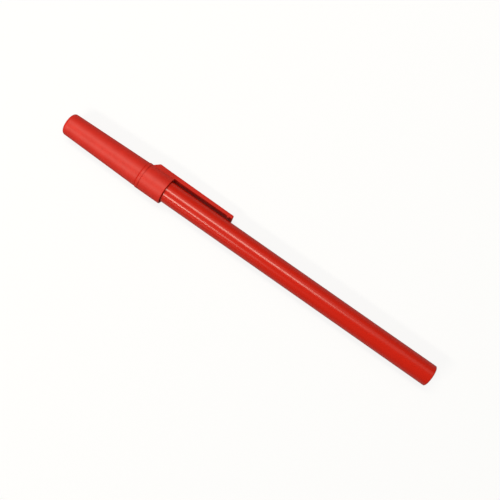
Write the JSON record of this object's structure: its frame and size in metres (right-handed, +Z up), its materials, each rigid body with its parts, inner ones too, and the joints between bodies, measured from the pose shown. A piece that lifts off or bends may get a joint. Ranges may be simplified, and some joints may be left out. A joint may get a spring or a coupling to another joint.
{
  "type": "stick ballpoint pen",
  "caption": "Capped stick ballpoint pen: a slim round barrel with an ink tube and ball point inside, and a pull-off cap with a tapered crown and a pocket clip.",
  "frame": {"origin": "on the table under the middle of the closed pen, which lies on its collar and its clip", "axes": "+X along the pen towards the barrel's rear end, +Y to the side with the clip, +Z up"},
  "size_m": [0.1484, 0.0114, 0.0098],
  "materials": {
    "cap_plastic": "satin moulded polypropylene, red",
    "barrel_plastic": "glossy moulded polystyrene, red",
    "holder_plastic": "natural moulded plastic",
    "tube_plastic": "translucent extruded tube",
    "ink": "thick paste ink",
    "point_brass": "turned brass",
    "ball_metal": "ground hard metal ball"
  },
  "bodies": {
    "pen": {"barrel": "barrel_plastic", "end_plug": "cap_plastic", "tip_holder": "holder_plastic", "ink_tube": "tube_plastic", "ink_column": "ink", "point_socket": "point_brass"},
    "cap": {"cap": "cap_plastic"},
    "ball": {"writing_ball": "ball_metal"}
  },
  "joints": [
    {"name": "cap_pull", "type": "slide", "parent": "pen", "child": "cap", "axis": [-1, 0, 0], "range_m": [0, 0.065]},
    {"name": "ball_roll", "type": "hinge", "parent": "pen", "child": "ball", "pos_m": [-0.07065, -0.0008, 0.0049], "axis": [0, 1, 0], "continuous": true}
  ]
}
